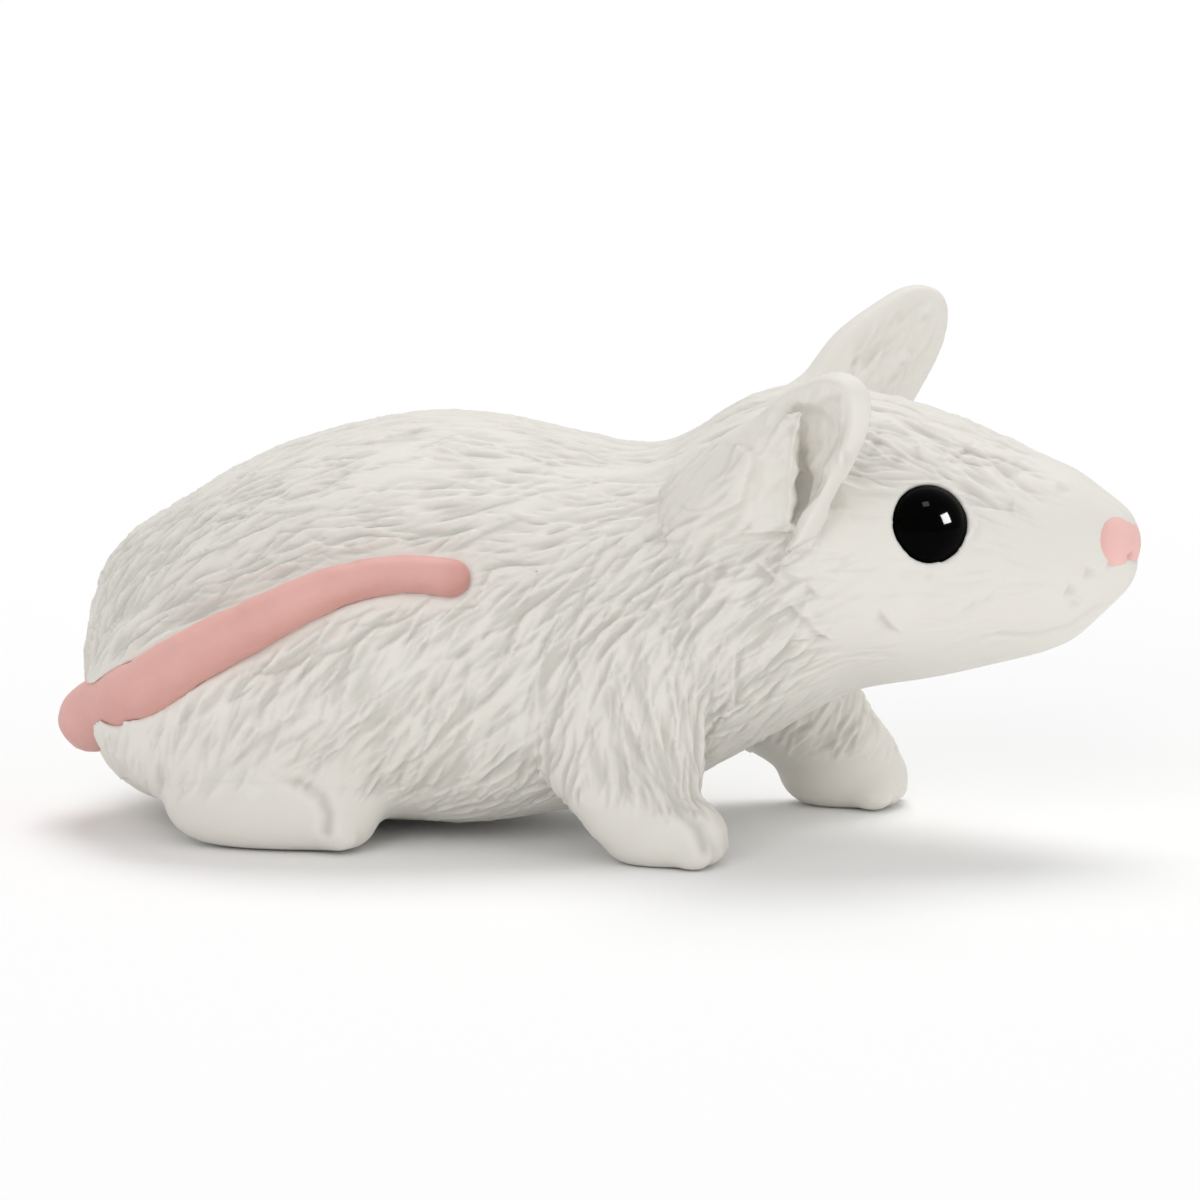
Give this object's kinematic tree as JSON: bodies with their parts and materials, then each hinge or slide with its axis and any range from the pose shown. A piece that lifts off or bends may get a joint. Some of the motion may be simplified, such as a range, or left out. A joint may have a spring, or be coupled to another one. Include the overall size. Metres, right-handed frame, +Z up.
{
  "type": "toy mouse figurine",
  "caption": "Moulded vinyl figurine of a white mouse on four feet, with cupped ears, bead eyes, pink nose and a pink tail laid along its right flank.",
  "frame": {"origin": "on the standing surface, under the middle of the bounding box", "axes": "+X to the nose, +Y to the mouse's left, +Z up"},
  "size_m": [0.0524, 0.025, 0.0251],
  "materials": {
    "white_vinyl": "matt warm white, carved fur",
    "pink_vinyl": "matt dusty pink",
    "black_gloss": "glossy black"
  },
  "bodies": {
    "root": {"torso": "white_vinyl", "head": "white_vinyl", "right_ear": "white_vinyl", "left_ear": "white_vinyl", "right_eye": "black_gloss", "left_eye": "black_gloss", "nose": "pink_vinyl", "right_foreleg": "white_vinyl", "left_foreleg": "white_vinyl", "right_hind_foot": "white_vinyl", "left_hind_foot": "white_vinyl", "tail": "pink_vinyl"}
  },
  "joints": []
}
